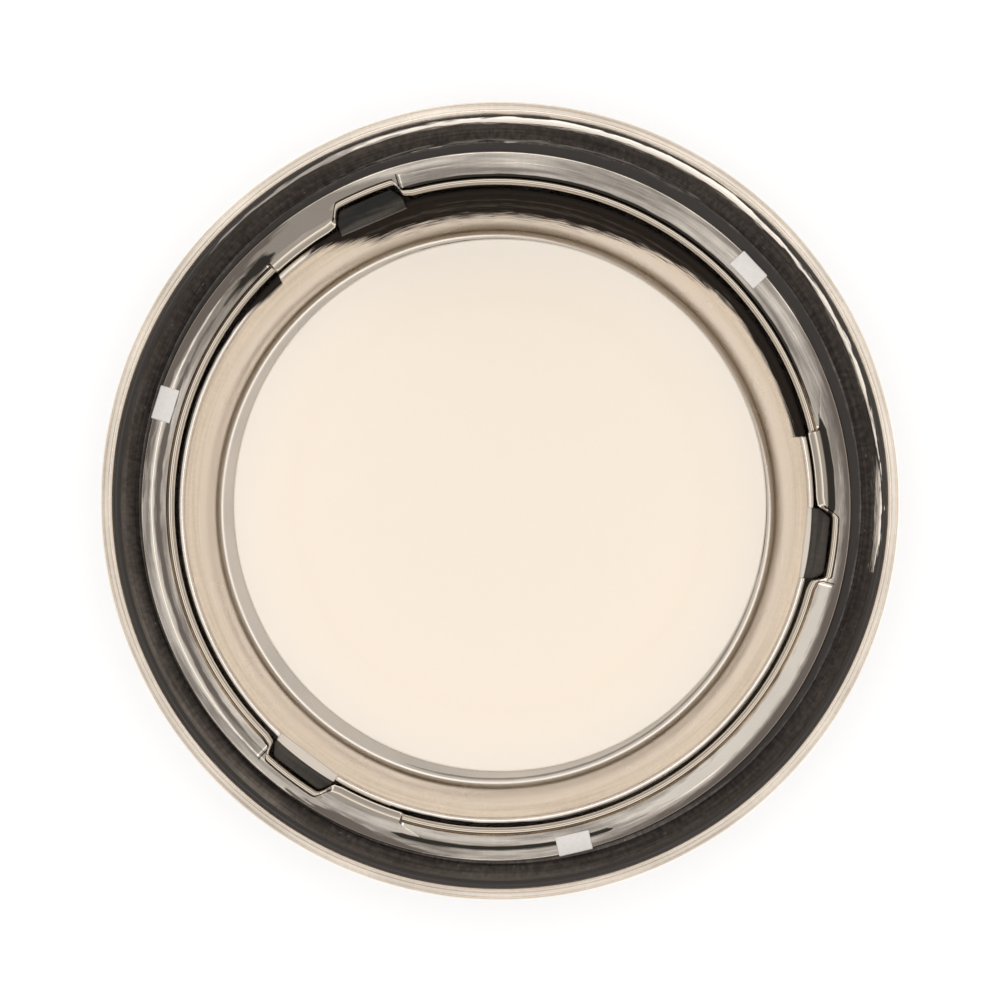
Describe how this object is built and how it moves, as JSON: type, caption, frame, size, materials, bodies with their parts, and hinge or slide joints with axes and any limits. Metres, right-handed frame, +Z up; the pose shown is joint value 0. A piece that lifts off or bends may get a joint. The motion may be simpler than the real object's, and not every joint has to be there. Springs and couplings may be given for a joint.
{
  "type": "parts sorting tray",
  "caption": "Round metal parts tray with a bayonet ledge and a lift-out dish that twists to lock.",
  "frame": {"origin": "on the shell's axis, on the surface that the rubber foot stands on", "axes": "+Z up out of the dish, +Y away from the user, +X to the right"},
  "size_m": [0.11, 0.11, 0.034],
  "materials": {
    "shell_nickel": "warm nickel plate, spun, satin",
    "rim_nickel": "warm nickel plate, turned and polished",
    "gunmetal": "dark gunmetal plate, satin, rubbed bright in places",
    "ledge_nickel": "warm nickel plate on a casting",
    "pad_nylon": "light grey nylon",
    "foot_rubber": "matte black rubber",
    "pin_steel": "bright steel",
    "glide_nylon": "natural nylon",
    "dish_satin": "warm nickel plate, satin",
    "mat_cream": "smooth cream soft plastic",
    "tab_black": "black moulded nylon"
  },
  "bodies": {
    "shell": {"outer_shell": "shell_nickel", "rim_ring": "rim_nickel", "flare_ring": "gunmetal", "bayonet_ring": "ledge_nickel", "ledge_pad_1": "pad_nylon", "ledge_pad_2": "pad_nylon", "ledge_pad_3": "pad_nylon", "foot_ring": "foot_rubber", "key_pins": "pin_steel"},
    "glide": {"glide_disc": "glide_nylon"},
    "dish": {"dish_pan": "dish_satin", "floor_mat": "mat_cream", "pivot_rivet": "pin_steel", "friction_washer": "pin_steel", "lock_tab_1": "tab_black", "lock_tab_2": "tab_black", "lock_tab_3": "tab_black"}
  },
  "joints": [
    {"name": "dish_lift", "type": "slide", "parent": "shell", "child": "glide", "axis": [0, 0, 1], "range_m": [0, 0.04]},
    {"name": "dish_twist", "type": "hinge", "parent": "glide", "child": "dish", "pos_m": [-0.00057, -0.00057, 0.004], "axis": [0, 0, 1], "range_deg": [-90, 0]}
  ]
}
